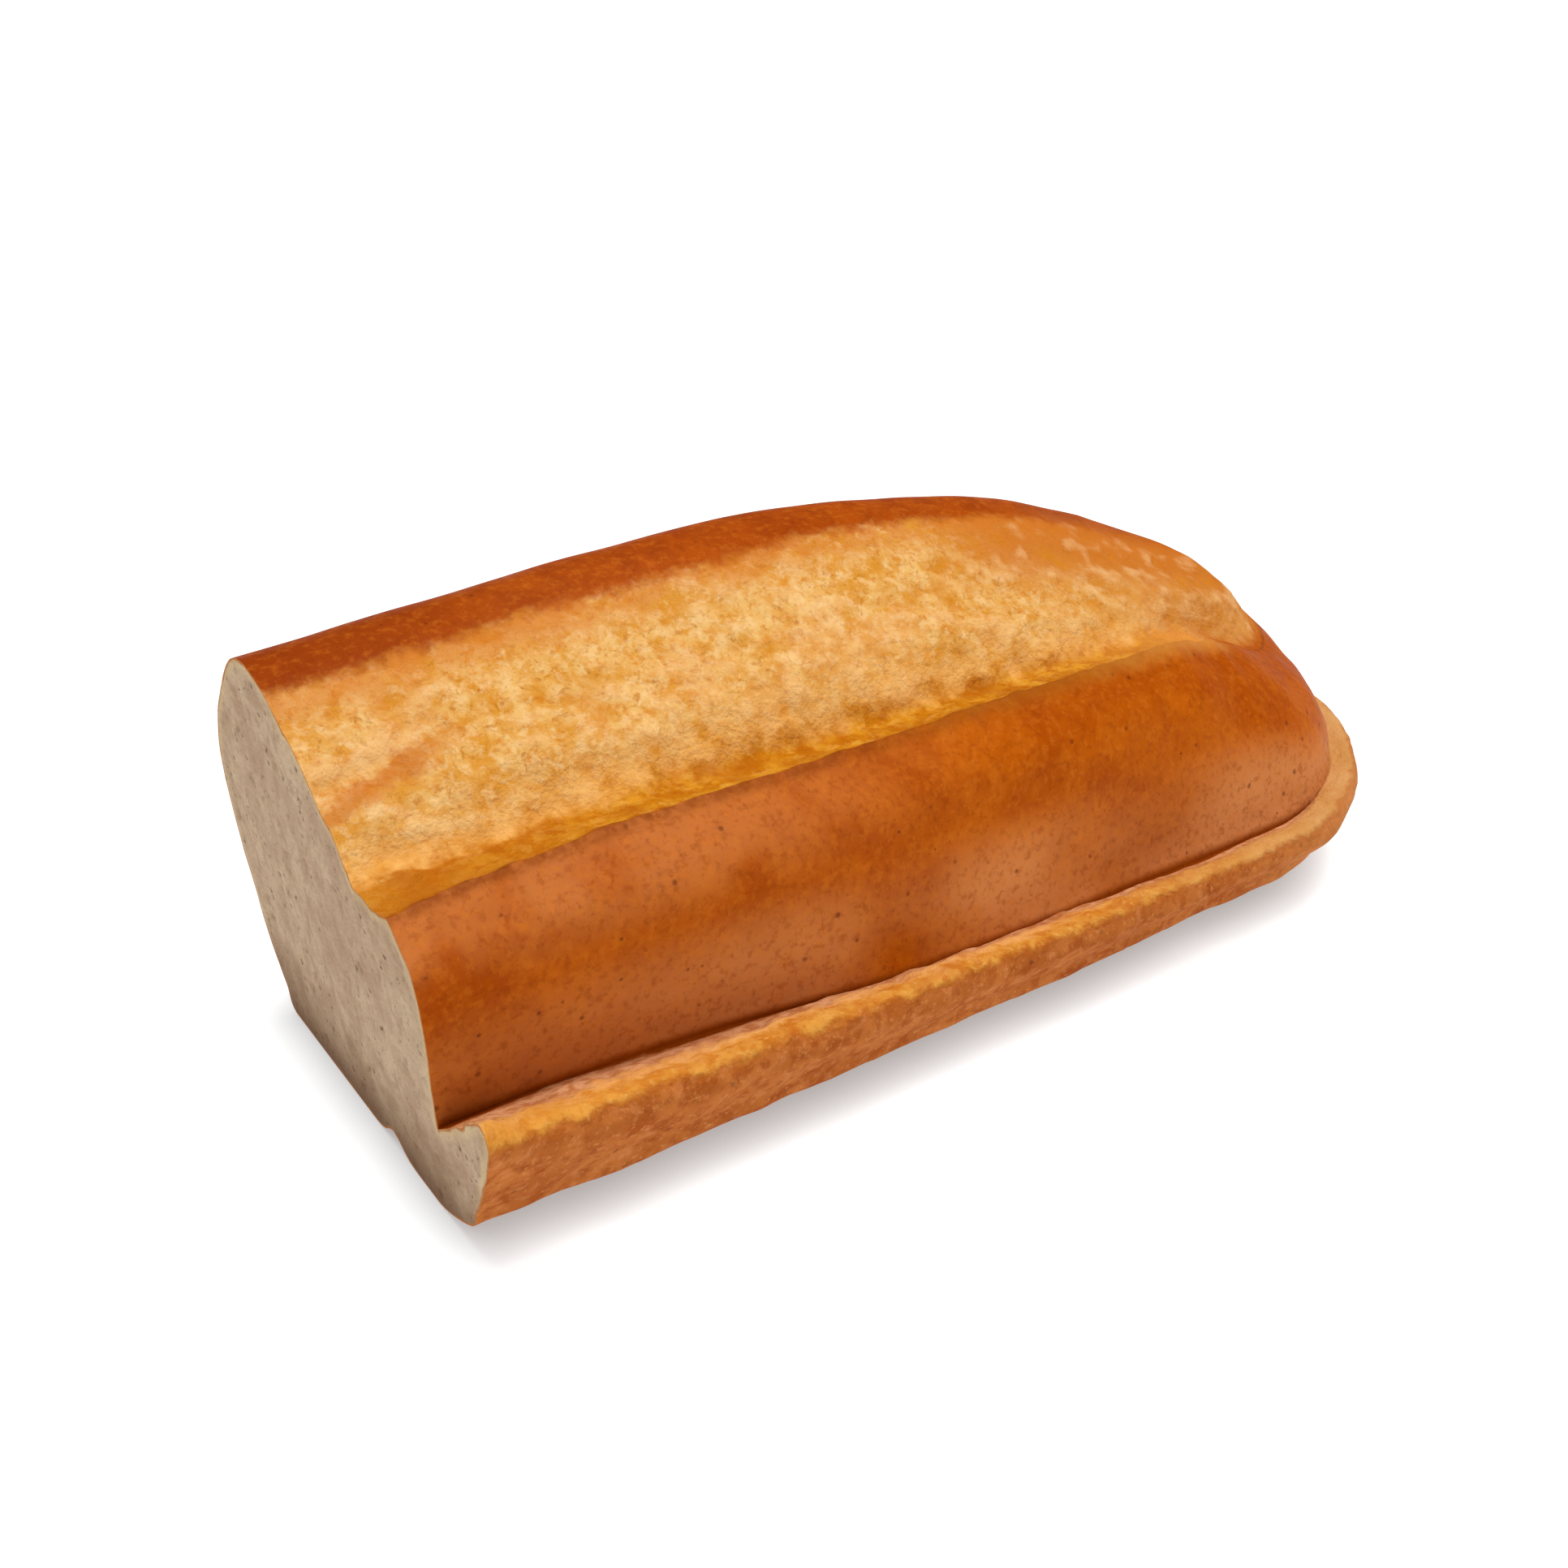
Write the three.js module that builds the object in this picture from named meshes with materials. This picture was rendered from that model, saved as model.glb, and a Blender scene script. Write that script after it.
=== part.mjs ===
// Bread roll: the rounded half of a short wheat roll, cut across once with a
// bread knife. Millimetres, +Z up, resting on its flat floury underside.
//
// The loaf is one baked piece, so it is one closed solid. Its skin is swept
// round the plan outline like a capsule: first along the near long side from
// the cut to the round end, then round the end, then back along the far side.
// At each station a half section runs from the middle of the underside,
// out under the loaf, up the side burst (a low shelf with a raised lip),
// into the crease over it, up the smooth flank to the torn edge of the top
// burst, and over the open top to the middle line.
import * as THREE from 'three';
import { mergeVertices } from 'three/addons/utils/BufferGeometryUtils.js';

// ---- driving dimensions (mm) ----
const STRAIGHT_LENGTH = 118;   // from the cut to the centre of the round end
const SPINE_Y = 18;            // middle line of the loaf, from the near base edge
const CUT_LEAN = 0.08;         // the knife cut leans out by this much per mm of height
const CUT_SKEW = 0.0636;       // and runs off square by this much per mm of width
const CUT_LEAN_FADE = 60;      // both die out over this length of loaf
const CROWN_Z = 43.2;          // height of the top over the middle line at the cut
const SHELL_COLOUR = 0xb5621e; // baked crust
const NEAR_STATIONS = 18, END_STATIONS = 22, FAR_STATIONS = 18; // round the outline

// Stations round the outline: 0 the cut on the near side, 1 start of the round
// end, 2 its tip, 3 its far side, 4 the cut on the far side.
const STATION = [0, 0.06, 0.25, 0.5, 0.75, 0.9, 1, 1.3, 1.5, 1.75, 2, 2.4, 2.7, 3, 3.25, 3.6, 4];
// Half-section points: r is the distance out from the middle line, z the height.
const SECTION = {
  rb: [18, 18.5, 19.5, 20, 20, 20, 20, 20, 20, 20.5, 21, 21.5, 22, 22, 23.2, 24.3, 24.3], // edge of the flat underside
  rc: [26.8, 27.4, 27.8, 28, 27.7, 27.5, 27.3, 26, 25.9, 27.3, 28.6, 28, 26.6, 25.2, 25.6, 25.8, 25.8], // rounded lower corner
  zc: [3.1, 3.2, 3.2, 3.2, 3.2, 3.2, 3.2, 3.2, 3.2, 3.2, 3.2, 3.2, 3.2, 3.2, 3.2, 3.2, 3.2],
  rw: [29.2, 29.5, 29.6, 29.8, 29.6, 29.4, 29.2, 27.8, 27.8, 29.2, 30.6, 30, 28.3, 27, 27.4, 27.6, 27.6], // foot of the shelf wall
  zw: [6.2, 6.3, 6.3, 6.3, 6.3, 6.3, 6.3, 6.3, 6.3, 6.3, 6.3, 6.3, 6.3, 6.2, 6.1, 6, 6],
  rl: [36, 33.7, 32.6, 32.6, 33.1, 33.3, 33, 31, 31, 32.6, 34, 33.2, 30.8, 29.4, 29.8, 29.9, 29.9], // outermost point of the lip
  zl: [20.7, 16.9, 14.4, 13.2, 12.8, 12.8, 13, 13.3, 13.7, 14.3, 14.4, 14, 13.4, 13.2, 13.8, 14, 14], // top of the lip
  wl: [6.2, 5.4, 4.8, 4.4, 4.2, 4.2, 4.2, 3.8, 3.8, 4.4, 4.8, 4.4, 2, -0.6, -1, -1, -1], // breadth of the lip
  zi: [17.5, 15.6, 13.6, 12.4, 12, 12, 12.2, 12.5, 13, 13.6, 13.8, 13.7, 14.5, 15.6, 16.2, 16.4, 16.4], // inner edge of the lip
  rr: [22.2, 22.2, 23.2, 26.4, 26.8, 26.6, 26.4, 27.2, 27.4, 27.9, 28.2, 28.2, 28.9, 30, 31, 31.6, 31.7], // crease between shelf and flank
  zr: [12.2, 12.2, 11.6, 10.9, 10.7, 10.3, 10.3, 11.2, 11.6, 11.8, 12.2, 12.9, 14.8, 17.2, 18.4, 18.8, 18.8],
  r1: [22.4, 22.4, 23.2, 25.4, 25.7, 25.4, 25.1, 26.5, 27.1, 27.9, 28.2, 28.4, 29.2, 30.4, 31.6, 32.2, 32.3], // flank, four points from low to the torn edge
  z1: [16.5, 16.4, 15.4, 14.6, 14.4, 14.2, 14, 14, 14.2, 14.4, 14.8, 15.8, 18.4, 21.4, 23.2, 23.8, 23.8],
  r2: [23.5, 23.5, 23.9, 24.6, 24.5, 24.1, 23.3, 24.7, 25.8, 26.8, 27.5, 28.2, 28.8, 30, 31.4, 32.2, 32.4],
  z2: [24.5, 24.5, 24.4, 23.6, 23.2, 22.8, 22, 19.4, 18.2, 17.8, 18, 20.2, 23.2, 26.2, 28.6, 29.4, 29.4],
  r3: [22.6, 22.4, 22.2, 22.3, 21.8, 20.6, 18.4, 19.4, 21.6, 24, 25.6, 26.6, 27, 27.9, 29.8, 31.2, 31],
  z3: [31.5, 31.7, 32.1, 32, 32, 31.2, 28.8, 26, 23.8, 22.2, 22.8, 25.4, 28.6, 31.8, 35.6, 36.8, 35],
  r4: [19, 18, 17, 16.6, 16.4, 15, 12.2, 12.8, 14.6, 19, 23, 23.4, 23.4, 23.8, 26.2, 27.6, 27.6], // torn edge of the top burst
  z4: [35, 35.5, 36, 35.8, 35.9, 35.4, 32.2, 30.4, 28.4, 26.2, 26.6, 29.6, 33, 36.8, 41.6, 43.2, 40.9],
  sa: [8, 7, 5.5, 5, 4.5, 4, 3, 2, 1, 0, 0, 0, 0, 0, 0, 0, 0], // ledge beside the torn edge: its breadth,
  sb: [14, 12.8, 11, 10.2, 9.8, 9.2, 8.6, 8.5, 9, 9.8, 9.8, 11.5, 13.5, 14, 14, 14, 14], // where the open top is fully risen,
  dp: [0.9, 1, 1.1, 1.1, 1.1, 1, 0.8, 0.3, 0, -1.5, -2.5, -4, -5, -5.5, -6, -6, -6], // and the dip of the ledge
};
// Crown of the loaf: how much it drops along its length, and its cross fall.
const DROP_X = [0, 20, 40, 60, 72, 90, 103, 117, 127, 134, 139, 146, 156];
const DROP = [0, -1.5, -2.9, -3.7, -3.3, -1.3, 0.9, 4.6, 7.4, 9.5, 12.2, 18.2, 30];
const FALL_SCALE_X = [0, 60, 91, 107, 122, 138, 160];
const FALL_SCALE = [1, 1, 0.9, 0.78, 0.62, 0.5, 0.4];
const FALL_Y = [-20, 0, 7, 12, 18, 23, 27, 31, 34.5, 38, 42, 46, 52];
const FALL = [-22, -11, -7.5, -4.3, 0, 3.5, 5.6, 6.4, 5.7, 3.9, 1, -3, -9.5];

// ---- smooth interpolation that never overshoots its table ----
function smoothTable(xs, ys) {
  const n = xs.length, h = [], d = [], m = new Array(n).fill(0);
  for (let i = 0; i < n - 1; i++) { h.push(xs[i + 1] - xs[i]); d.push((ys[i + 1] - ys[i]) / h[i]); }
  m[0] = d[0]; m[n - 1] = d[n - 2];
  for (let i = 1; i < n - 1; i++) {
    if (d[i - 1] * d[i] > 0) {
      const w1 = 2 * h[i] + h[i - 1], w2 = h[i] + 2 * h[i - 1];
      m[i] = (w1 + w2) / (w1 / d[i - 1] + w2 / d[i]);
    }
  }
  return (x) => {
    let i = 0;
    while (i < n - 2 && x >= xs[i + 1]) i++;
    const t = Math.min(1, Math.max(0, (x - xs[i]) / h[i])), t2 = t * t, t3 = t2 * t;
    return ys[i] * (2 * t3 - 3 * t2 + 1) + h[i] * m[i] * (t3 - 2 * t2 + t)
      + ys[i + 1] * (3 * t2 - 2 * t3) + h[i] * m[i + 1] * (t3 - t2);
  };
}
const smoothStep = (a, b, x) => { const t = Math.min(1, Math.max(0, (x - a) / (b - a))); return t * t * (3 - 2 * t); };

// cubic through a few section points, with knots
function curveThrough(knots, values, t) {
  const n = knots.length;
  const slope = (i) => (values[i + 1] - values[i]) / (knots[i + 1] - knots[i]);
  const tangent = (i) => {
    if (i === 0) return slope(0);
    if (i === n - 1) return slope(n - 2);
    const ha = knots[i] - knots[i - 1], hb = knots[i + 1] - knots[i];
    return (slope(i - 1) * hb + slope(i) * ha) / (ha + hb);
  };
  let i = 0;
  while (i < n - 2 && t >= knots[i + 1]) i++;
  const h = knots[i + 1] - knots[i], u = (t - knots[i]) / h, u2 = u * u, u3 = u2 * u;
  return values[i] * (2 * u3 - 3 * u2 + 1) + h * tangent(i) * (u3 - 2 * u2 + u)
    + values[i + 1] * (3 * u2 - 2 * u3) + h * tangent(i + 1) * (u3 - u2);
}

const sectionAt = Object.fromEntries(Object.entries(SECTION).map(([k, v]) => [k, smoothTable(STATION, v)]));
const drop = smoothTable(DROP_X, DROP);
const fallScale = smoothTable(FALL_SCALE_X, FALL_SCALE);
const fall = smoothTable(FALL_Y, FALL);
const crown = (x, y) => CROWN_Z - drop(x) + fallScale(x) * fall(y);

const UNDER_KNOTS = [0, 0.5, 1, 1.5, 2, 3, 3.5, 4, 5];
const FLANK_KNOTS = [5, 5.8, 6.6, 7.4, 8];

// point on the skin: q round the outline, t from the underside (0) to the crown (9)
function skinPoint(q, t) {
  const p = {};
  for (const k in sectionAt) p[k] = sectionAt[k](q);
  const spineX = q < 1 ? STRAIGHT_LENGTH * q : q <= 3 ? STRAIGHT_LENGTH : STRAIGHT_LENGTH * (4 - q);
  const angle = q < 1 ? 0 : q <= 3 ? (q - 1) * Math.PI / 2 : Math.PI;
  const sx = q <= 1 || q >= 3 ? 0 : Math.sin(angle), sy = q <= 1 ? -1 : q >= 3 ? 1 : -Math.cos(angle);
  let r, z;
  if (t <= 1) {
    r = t * p.rb; z = 0;
  } else if (t <= 5) {
    r = curveThrough(UNDER_KNOTS, [0, p.rb * 0.55, p.rb, p.rc, p.rw, p.rl, p.rl - p.wl * 0.28, p.rl - p.wl, p.rr], t);
    z = Math.max(0, curveThrough(UNDER_KNOTS, [0, 0, 0, p.zc, p.zw, p.zl - 2, p.zl, p.zi, p.zr], t));
  } else if (t <= 8) {
    r = curveThrough(FLANK_KNOTS, [p.rr, p.r1, p.r2, p.r3, p.r4], t);
    z = curveThrough(FLANK_KNOTS, [p.zr, p.z1, p.z2, p.z3, p.z4], t);
  } else {
    const inward = p.r4 * (t - 8);
    r = p.r4 - inward;
    const open = smoothStep(p.sa, p.sb, inward);
    const shelf = p.dp > 0 ? p.z4 - p.dp * (1 - Math.exp(-inward / 3)) : p.z4 - p.dp * inward / 8;
    z = shelf * (1 - open) + crown(spineX + r * sx, SPINE_Y + r * sy) * open;
  }
  const x = spineX + r * sx;
  const y = SPINE_Y + r * sy;
  return new THREE.Vector3(x + (CUT_SKEW * y - CUT_LEAN * z) * (1 - smoothStep(0, CUT_LEAN_FADE, x)), y, z);
}

// ---- stations and section steps ----
const stations = [];
for (let i = 0; i < NEAR_STATIONS; i++) stations.push(i / NEAR_STATIONS);
for (let i = 0; i < END_STATIONS; i++) stations.push(1 + 2 * i / END_STATIONS);
for (let i = 0; i <= FAR_STATIONS; i++) stations.push(3 + i / FAR_STATIONS);
const steps = [0, 1, 1.3, 1.65, 2, 2.5, 3, 3.3, 3.6, 4, 4.5, 5, 5.4, 5.8, 6.3, 6.8, 7.3, 7.7, 8,
  8.15, 8.3, 8.45, 8.6, 8.75, 8.88, 9];

const grid = stations.map((q) => steps.map((t) => skinPoint(q, t)));
const points = [], faces = [];
const index = grid.map((column) => column.map((p) => points.push(p.x, p.y, p.z) / 3 - 1));
const face = (a, b, c) => faces.push(a, b, c);
for (let i = 0; i < stations.length - 1; i++) {
  for (let j = 0; j < steps.length - 1; j++) {
    const a = index[i][j], b = index[i + 1][j], c = index[i + 1][j + 1], d = index[i][j + 1];
    face(a, b, c); face(a, c, d);
  }
}
// the flat cut: one polygon, up the near half section and down the far one
const rim = [...index[0], ...index[stations.length - 1].slice(1, -1).reverse()];
const rimPlan = rim.map((k) => new THREE.Vector2(points[3 * k + 1], points[3 * k + 2]));
for (const [a, b, c] of THREE.ShapeUtils.triangulateShape(rimPlan, [])) {
  const A = rimPlan[a], B = rimPlan[b], C = rimPlan[c];
  const turn = (B.x - A.x) * (C.y - A.y) - (B.y - A.y) * (C.x - A.x);
  if (turn > 0) face(rim[a], rim[c], rim[b]); else face(rim[a], rim[b], rim[c]);
}

// ---- one closed skin: shared points merged, folded-away triangles dropped ----
function closedSkin() {
  let g = new THREE.BufferGeometry();
  g.setAttribute('position', new THREE.Float32BufferAttribute(points, 3));
  g.setIndex(faces);
  g = mergeVertices(g, 1e-3);
  const old = g.getIndex().array, kept = [];
  for (let i = 0; i < old.length; i += 3) {
    const [a, b, c] = [old[i], old[i + 1], old[i + 2]];
    if (a !== b && b !== c && a !== c) kept.push(a, b, c);
  }
  g.setIndex(kept);
  g.computeBoundingBox();
  const { min, max } = g.boundingBox;
  g.translate(-(min.x + max.x) / 2, -(min.y + max.y) / 2, -min.z); // origin: bottom centre of the box
  g.computeVertexNormals();
  return g;
}

const crust = new THREE.MeshStandardMaterial({ color: SHELL_COLOUR, roughness: 0.55, metalness: 0 });
const breadRoll = new THREE.Mesh(closedSkin(), crust);
breadRoll.name = 'bread_roll';

const part = new THREE.Group();
part.name = 'bread_roll_part';
part.add(breadRoll);
export default part;
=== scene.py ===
import math

import bpy
import numpy as np
from mathutils import Matrix, Vector
from mathutils.geometry import delaunay_2d_cdt


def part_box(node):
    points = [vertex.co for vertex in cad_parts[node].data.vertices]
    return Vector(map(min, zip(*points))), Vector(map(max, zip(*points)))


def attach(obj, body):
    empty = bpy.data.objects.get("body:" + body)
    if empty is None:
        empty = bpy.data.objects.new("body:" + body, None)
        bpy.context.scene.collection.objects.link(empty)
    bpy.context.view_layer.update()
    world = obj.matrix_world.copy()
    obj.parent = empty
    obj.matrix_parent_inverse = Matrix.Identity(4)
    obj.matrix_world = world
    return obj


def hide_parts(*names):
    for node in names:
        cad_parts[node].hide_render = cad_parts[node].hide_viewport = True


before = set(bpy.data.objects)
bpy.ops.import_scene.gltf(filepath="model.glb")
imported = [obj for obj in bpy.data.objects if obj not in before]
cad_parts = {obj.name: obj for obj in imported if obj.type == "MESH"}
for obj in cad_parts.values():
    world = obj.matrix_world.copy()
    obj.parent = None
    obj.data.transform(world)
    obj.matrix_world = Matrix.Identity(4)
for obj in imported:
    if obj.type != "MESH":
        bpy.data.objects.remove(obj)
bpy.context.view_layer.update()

# ---------------------------------------------------------------------------
# The half loaf, in millimetres. x runs from the cut to the round tip, y from
# the near side to the far side, z up from the table. A station q goes round
# the outline (0 near side at the cut, 1 to 3 round the tip, 4 far side at the
# cut) and a step t goes over the section, from the middle of the base (0),
# up the wall (2), over the lip of the ledge (3 to 4), down into the crease
# (5), up the flank to the torn edge (8) and in to the middle line (9).
# ---------------------------------------------------------------------------
STRAIGHT = 118.0
SPINE_Y = 18.0
CROWN = 43.2
SKEW = 0.0636
LEAN = 0.08

STATION = np.array([0, 0.06, 0.25, 0.5, 0.75, 0.9, 1, 1.3, 1.5, 1.75, 2, 2.4, 2.7, 3, 3.25, 3.6, 4])
SECTION = {
    'rb': [18, 18.5, 19.5, 20, 20, 20, 20, 20, 20, 20.5, 21, 21.5, 22, 22, 23.2, 24.3, 24.3],
    'rc': [26.8, 27.4, 27.8, 28, 27.7, 27.5, 27.3, 26, 25.9, 27.3, 28.6, 28, 26.6, 25.2, 25.6, 25.8, 25.8],
    'zc': [3.1, 3.2, 3.2, 3.2, 3.2, 3.2, 3.2, 3.2, 3.2, 3.2, 3.2, 3.2, 3.2, 3.2, 3.2, 3.2, 3.2],
    'rw': [29.2, 29.5, 29.6, 29.8, 29.6, 29.4, 29.2, 27.8, 27.8, 29.2, 30.6, 30, 28.3, 27, 27.4, 27.6, 27.6],
    'zw': [6.2, 6.3, 6.3, 6.3, 6.3, 6.3, 6.3, 6.3, 6.3, 6.3, 6.3, 6.3, 6.3, 6.2, 6.1, 6, 6],
    'rl': [36, 33.7, 32.6, 32.6, 33.1, 33.3, 33, 31, 31, 32.6, 34, 33.2, 30.8, 29.4, 29.8, 29.9, 29.9],
    'zl': [20.7, 16.9, 14.4, 13.2, 12.8, 12.8, 13, 13.3, 13.7, 14.3, 14.4, 14, 13.4, 13.2, 13.8, 14, 14],
    'wl': [6.2, 5.4, 4.8, 4.4, 4.2, 4.2, 4.2, 3.8, 3.8, 4.4, 4.8, 4.4, 2, -0.6, -1, -1, -1],
    'zi': [17.5, 15.6, 13.6, 12.4, 12, 12, 12.2, 12.5, 13, 13.6, 13.8, 13.7, 14.5, 15.6, 16.2, 16.4, 16.4],
    'rr': [22.2, 22.2, 23.2, 26.4, 26.8, 26.6, 26.4, 27.2, 27.4, 27.9, 28.2, 28.2, 28.9, 30, 31, 31.6, 31.7],
    'zr': [12.2, 12.2, 11.6, 10.9, 10.7, 10.3, 10.3, 11.2, 11.6, 11.8, 12.2, 12.9, 14.8, 17.2, 18.4, 18.8, 18.8],
    'r1': [22.4, 22.4, 23.2, 25.4, 25.7, 25.4, 25.1, 26.5, 27.1, 27.9, 28.2, 28.4, 29.2, 30.4, 31.6, 32.2, 32.3],
    'z1': [16.5, 16.4, 15.4, 14.6, 14.4, 14.2, 14, 14, 14.2, 14.4, 14.8, 15.8, 18.4, 21.4, 23.2, 23.8, 23.8],
    'r2': [23.5, 23.5, 23.9, 24.6, 24.5, 24.1, 23.3, 24.7, 25.8, 26.8, 27.5, 28.2, 28.8, 30, 31.4, 32.2, 32.4],
    'z2': [24.5, 24.5, 24.4, 23.6, 23.2, 22.8, 22, 19.4, 18.2, 17.8, 18, 20.2, 23.2, 26.2, 28.6, 29.4, 29.4],
    'r3': [22.6, 22.4, 22.2, 22.3, 21.8, 20.6, 18.4, 19.4, 21.6, 24, 25.6, 26.6, 27, 27.9, 29.8, 31.2, 31],
    'z3': [31.5, 31.7, 32.1, 32, 32, 31.2, 28.8, 26, 23.8, 22.2, 22.8, 25.4, 28.6, 31.8, 35.6, 36.8, 35],
    'r4': [19, 18, 17, 16.6, 16.4, 15, 12.2, 12.8, 14.6, 19, 23, 23.4, 23.4, 23.8, 26.2, 27.6, 27.6],
    'z4': [35, 35.5, 36, 35.8, 35.9, 35.4, 32.2, 30.4, 28.4, 26.2, 26.6, 29.6, 33, 36.8, 41.6, 43.2, 40.9],
    'sa': [8, 7, 5.5, 5, 4.5, 4, 3, 2, 1, 0, 0, 0, 0, 0, 0, 0, 0],
    'sb': [14, 12.8, 11, 10.2, 9.8, 9.2, 8.6, 8.5, 9, 9.8, 9.8, 11.5, 13.5, 14, 14, 14, 14],
    'dp': [0.9, 1, 1.1, 1.1, 1.1, 1, 0.8, 0.3, 0, -1.5, -2.5, -4, -5, -5.5, -6, -6, -6],
}
DROP = ([0, 20, 40, 60, 72, 90, 103, 117, 127, 134, 139, 146, 156],
        [0, -1.5, -2.9, -3.7, -3.3, -1.3, 0.9, 4.6, 7.4, 9.5, 12.2, 18.2, 30])
FADE = ([0, 60, 91, 107, 122, 138, 160],
        [1, 1, 0.9, 0.78, 0.62, 0.5, 0.4])
FALL = ([-20, 0, 7, 12, 18, 23, 27, 31, 34.5, 38, 42, 46, 52],
        [-22, -11, -7.5, -4.3, 0, 3.5, 5.6, 6.4, 5.7, 3.9, 1, -3, -9.5])


def slopes(xk, yk):
    h = np.diff(xk)
    d = np.diff(yk) / h
    m = np.zeros(len(xk))
    m[0], m[-1] = d[0], d[-1]
    for i in range(1, len(xk) - 1):
        if d[i - 1] * d[i] > 0:
            w1 = 2 * h[i] + h[i - 1]
            w2 = h[i] + 2 * h[i - 1]
            m[i] = (w1 + w2) / (w1 / d[i - 1] + w2 / d[i])
    return m


def mono(x, xk, yk):
    xk = np.asarray(xk, float)
    yk = np.asarray(yk, float)
    x = np.asarray(x, float)
    m = slopes(xk, yk)
    i = np.clip(np.searchsorted(xk, x, side='right') - 1, 0, len(xk) - 2)
    h = xk[i + 1] - xk[i]
    s = np.clip((x - xk[i]) / h, 0, 1)
    return ((2 * s ** 3 - 3 * s ** 2 + 1) * yk[i] + (s ** 3 - 2 * s ** 2 + s) * h * m[i]
            + (-2 * s ** 3 + 3 * s ** 2) * yk[i + 1] + (s ** 3 - s ** 2) * h * m[i + 1])


def smooth(a, b, x):
    s = np.clip((np.asarray(x, float) - a) / (np.asarray(b, float) - a), 0, 1)
    return s * s * (3 - 2 * s)


def crown(x, y):
    return CROWN - mono(x, *DROP) + mono(x, *FADE) * mono(y, *FALL)


def through(knots, rows, t):
    # a smooth curve through the rows, one row of values per knot
    P = np.array(rows, float)
    k = np.array(knots, float)
    m = np.zeros_like(P)
    for i in range(len(k)):
        if i == 0:
            m[i] = (P[1] - P[0]) / (k[1] - k[0])
        elif i == len(k) - 1:
            m[i] = (P[-1] - P[-2]) / (k[-1] - k[-2])
        else:
            ha, hb = k[i] - k[i - 1], k[i + 1] - k[i]
            m[i] = ((P[i] - P[i - 1]) / ha * hb + (P[i + 1] - P[i]) / hb * ha) / (ha + hb)
    i = np.clip(np.searchsorted(k, t, side='right') - 1, 0, len(k) - 2)
    h = k[i + 1] - k[i]
    u = ((t - k[i]) / h)[:, None]
    h = h[:, None]
    return (P[i] * (2 * u ** 3 - 3 * u * u + 1) + h * m[i] * (u ** 3 - 2 * u * u + u)
            + P[i + 1] * (-2 * u ** 3 + 3 * u * u) + h * m[i + 1] * (u ** 3 - u * u))


def loaf(q, t):
    # the smooth loaf: points for every step t (rows) at every station q
    p = {k: mono(q, STATION, v) for k, v in SECTION.items()}
    x0 = np.where(q < 1, STRAIGHT * q, np.where(q <= 3, STRAIGHT, STRAIGHT * (4 - q)))
    th = np.where(q < 1, 0, np.where(q <= 3, (q - 1) * np.pi / 2, np.pi))
    R = np.zeros((len(t), len(q)))
    Z = np.zeros_like(R)
    none = np.zeros_like(q)
    a = t <= 5
    R[a] = through([0, .5, 1, 1.5, 2, 3, 3.5, 4, 5],
                   [none, p['rb'] * .55, p['rb'], p['rc'], p['rw'], p['rl'],
                    p['rl'] - p['wl'] * .28, p['rl'] - p['wl'], p['rr']], t[a])
    Z[a] = through([0, .5, 1, 1.5, 2, 3, 3.5, 4, 5],
                   [none, none, none, p['zc'], p['zw'], p['zl'] - 2, p['zl'], p['zi'], p['zr']], t[a])
    flat = t <= 1
    R[flat] = t[flat][:, None] * p['rb'][None]
    Z[flat] = 0
    Z = np.maximum(Z, 0)
    b = (t > 5) & (t <= 8)
    R[b] = through([5, 5.8, 6.6, 7.4, 8], [p['rr'], p['r1'], p['r2'], p['r3'], p['r4']], t[b])
    Z[b] = through([5, 5.8, 6.6, 7.4, 8], [p['zr'], p['z1'], p['z2'], p['z3'], p['z4']], t[b])
    c = t > 8
    r = p['r4'] * (9 - t[c])[:, None]
    d = p['r4'] - r
    S = smooth(p['sa'], p['sb'], d)
    shelf = (p['z4'] - np.where(p['dp'] > 0, p['dp'], 0) * (1 - np.exp(-d / 3))
             + np.where(p['dp'] < 0, -p['dp'] * d / 8, 0))
    R[c] = r
    Z[c] = shelf * (1 - S) + crown(x0 + r * np.sin(th), SPINE_Y - r * np.cos(th)) * S
    X = x0 + R * np.sin(th)
    Y = SPINE_Y - R * np.cos(th)
    X = X + (SKEW * Y - LEAN * Z) * (1 - smooth(0, 60, X))
    inset = np.full_like(R, -1.0)
    inset[c] = d
    return X, Y, Z, inset


# ---------------------------------------------------------------------------
# Seeded noise, so every run gives the same crust
# ---------------------------------------------------------------------------
def scatter(ix, iy, iz, seed):
    h = (ix.astype(np.int64).astype(np.uint32) * np.uint32(374761393)
         + iy.astype(np.int64).astype(np.uint32) * np.uint32(668265263)
         + iz.astype(np.int64).astype(np.uint32) * np.uint32(2246822519)
         + np.uint32((seed * 3266489917) % 4294967296))
    h = (h ^ (h >> np.uint32(13))) * np.uint32(1274126177)
    h = (h ^ (h >> np.uint32(16))) * np.uint32(2654435761)
    return (h ^ (h >> np.uint32(15))).astype(np.float64) / 4294967296.0


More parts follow.
